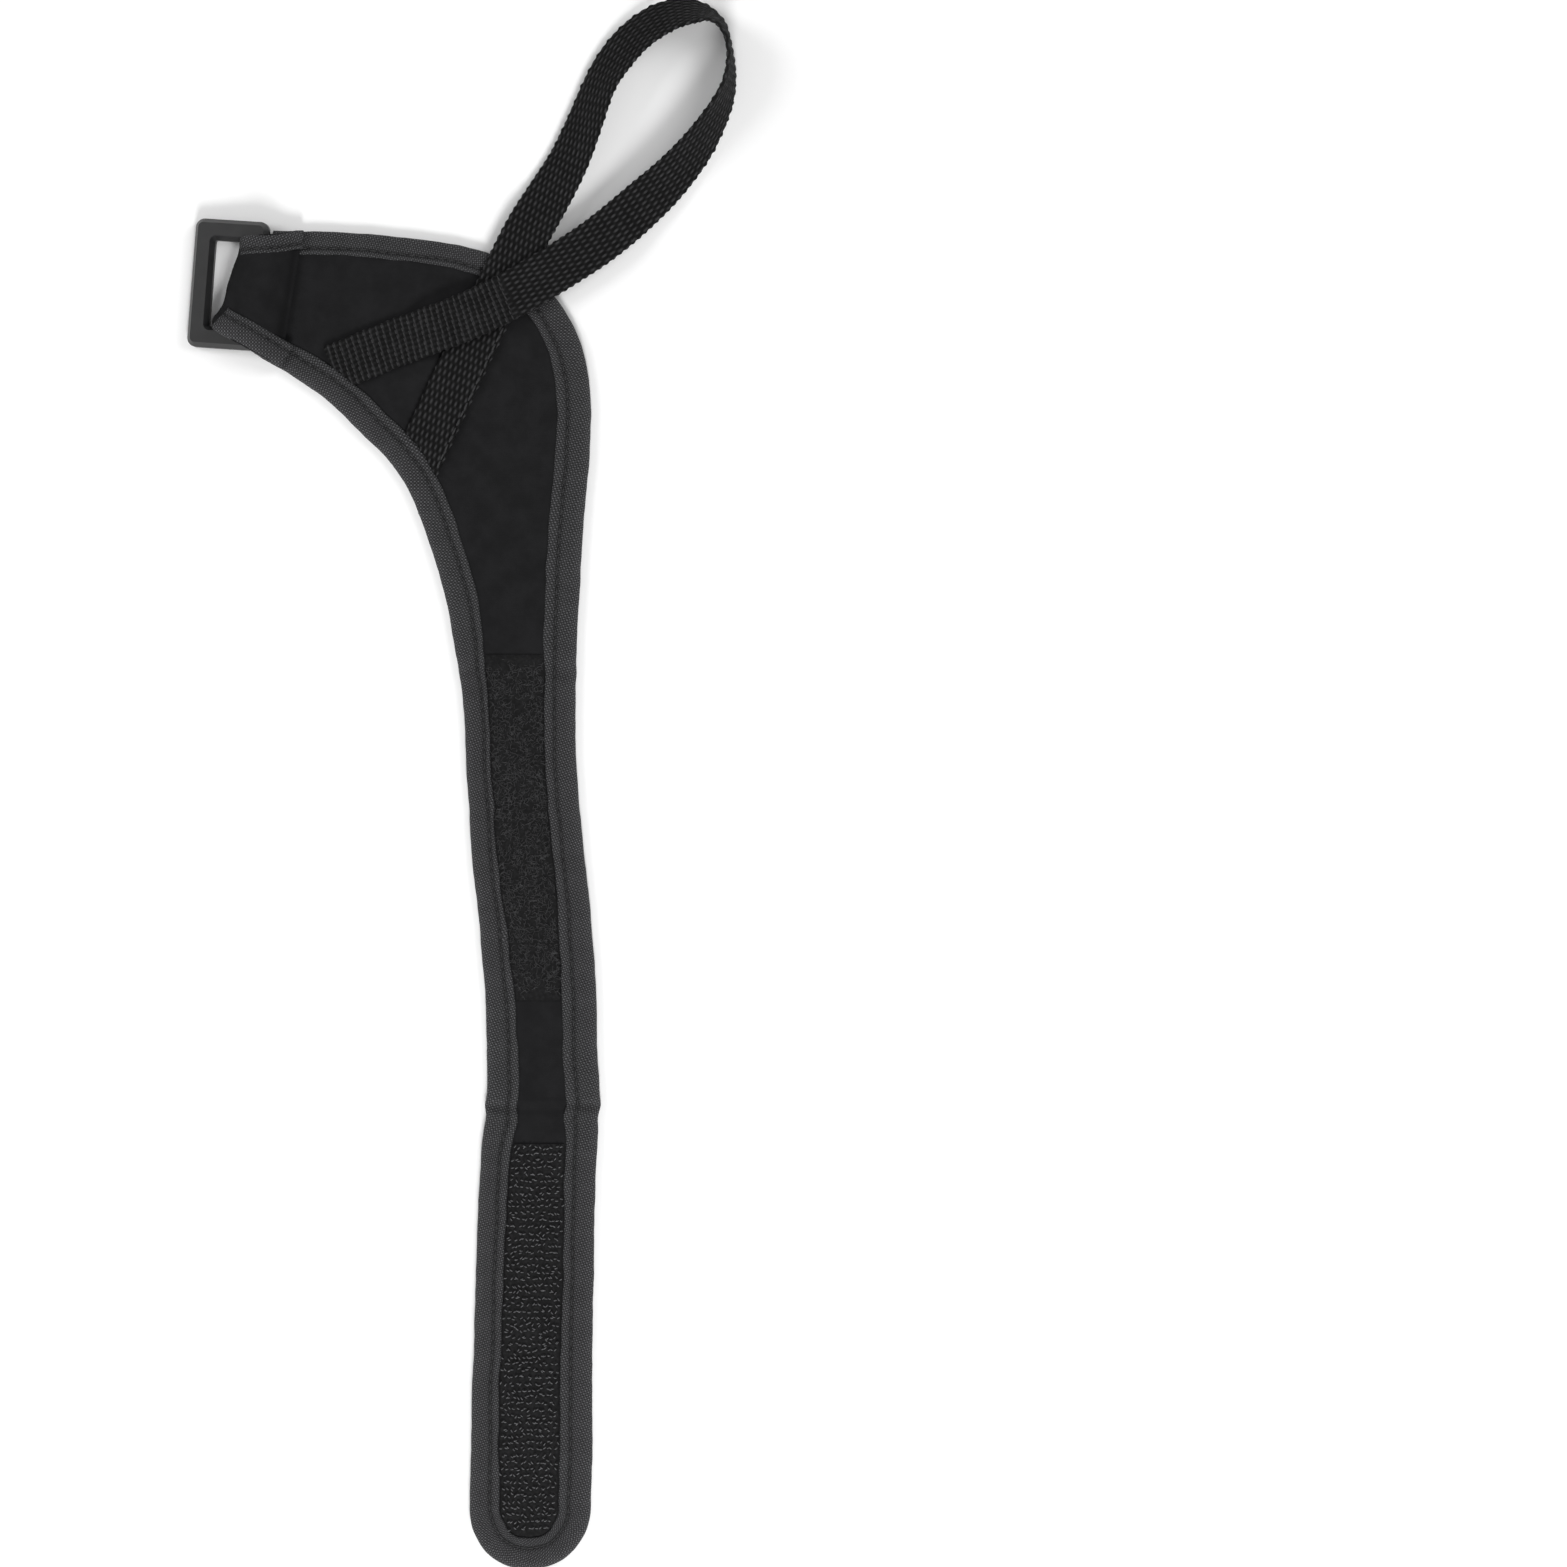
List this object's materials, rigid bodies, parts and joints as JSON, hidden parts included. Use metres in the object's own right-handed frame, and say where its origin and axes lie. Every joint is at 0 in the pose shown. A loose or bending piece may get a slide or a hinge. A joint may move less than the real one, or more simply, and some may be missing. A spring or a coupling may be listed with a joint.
{
  "type": "hook-and-loop cuff strap",
  "caption": "Fabric-bound cuff strap that wraps a wrist or ankle: shaped palm panel, webbing hand loop, slide ring in a folded sleeve, and a long hook-and-loop tail.",
  "frame": {"origin": "on the lining's underside, under the middle of the palm panel", "axes": "+Z out of the lining towards the outer face, -Y down the strap to its tip, -X towards the ring"},
  "size_m": [0.1426, 0.4086, 0.0126],
  "materials": {
    "foam_core": "matte",
    "face_knit": "smooth knit",
    "lining_knit": "smooth knit",
    "binding_tape": "twill woven tape",
    "webbing": "coarse plain weave",
    "hook_tape": "rows of hooks",
    "loop_tape": "brushed loops",
    "thread": "sewing thread",
    "ring_plastic": "satin moulded"
  },
  "bodies": {
    "palm": {"palm_lining": "lining_knit", "palm_core": "foam_core", "palm_face": "face_knit", "palm_binding_inner": "binding_tape", "palm_binding_outer": "binding_tape", "palm_binding_thread_inner": "thread", "palm_binding_thread_outer": "thread", "flap_binding": "binding_tape", "flap_thread": "thread", "webbing_leg_lower": "webbing", "webbing_leg_upper": "webbing", "webbing_thread": "thread"},
    "strap_1": {"strap_1_core": "foam_core", "strap_1_face": "face_knit", "strap_1_lining": "lining_knit", "strap_1_binding": "binding_tape", "strap_1_binding_thread": "thread", "strap_1_loop_tape": "loop_tape"},
    "strap_2": {"strap_2_core": "foam_core", "strap_2_face": "face_knit", "strap_2_lining": "lining_knit", "strap_2_binding": "binding_tape", "strap_2_binding_thread": "thread", "strap_2_loop_tape": "loop_tape"},
    "strap_3": {"strap_3_core": "foam_core", "strap_3_face": "face_knit", "strap_3_lining": "lining_knit", "strap_3_binding": "binding_tape", "strap_3_binding_thread": "thread", "strap_3_loop_tape": "loop_tape"},
    "strap_4": {"strap_4_core": "foam_core", "strap_4_face": "face_knit", "strap_4_lining": "lining_knit", "strap_4_binding": "binding_tape", "strap_4_binding_thread": "thread"},
    "tail": {"tail_core": "foam_core", "tail_face": "face_knit", "tail_lining": "lining_knit", "tail_binding": "binding_tape", "tail_binding_thread": "thread", "tail_hook_tape": "hook_tape"},
    "ring": {"ring": "ring_plastic"},
    "webbing_loop": {"webbing_loop": "webbing"}
  },
  "joints": [
    {"name": "wrap_1", "type": "hinge", "parent": "palm", "child": "strap_1", "pos_m": [0.015, -0.065, 0], "axis": [1, 0, 0], "range_deg": [0, 50]},
    {"name": "wrap_2", "type": "hinge", "parent": "strap_1", "child": "strap_2", "pos_m": [0.015, -0.0965, 0], "axis": [1, 0, 0], "range_deg": [0, 50]},
    {"name": "wrap_3", "type": "hinge", "parent": "strap_2", "child": "strap_3", "pos_m": [0.015, -0.128, 0], "axis": [1, 0, 0], "range_deg": [0, 50]},
    {"name": "wrap_4", "type": "hinge", "parent": "strap_3", "child": "strap_4", "pos_m": [0.015, -0.1595, 0], "axis": [1, 0, 0], "range_deg": [0, 50]},
    {"name": "tail_fold", "type": "hinge", "parent": "strap_4", "child": "tail", "pos_m": [0.019, -0.186, 0.0036], "axis": [-1, 0, 0], "range_deg": [0, 180]},
    {"name": "ring_swivel", "type": "hinge", "parent": "palm", "child": "ring", "pos_m": [-0.05565, 0.0266, 0.00405], "axis": [0.0785, 0.9969, 0], "range_deg": [-90, 120]},
    {"name": "loop_lift", "type": "hinge", "parent": "palm", "child": "webbing_loop", "pos_m": [0.0208, 0.0377, 0.00555], "axis": [0.7912, -0.6115, 0], "range_deg": [0, 110]}
  ],
  "couplings": [
    {"joint": "wrap_2", "follows": "wrap_1", "ratio": 1},
    {"joint": "wrap_3", "follows": "wrap_1", "ratio": 1},
    {"joint": "wrap_4", "follows": "wrap_1", "ratio": 1}
  ]
}
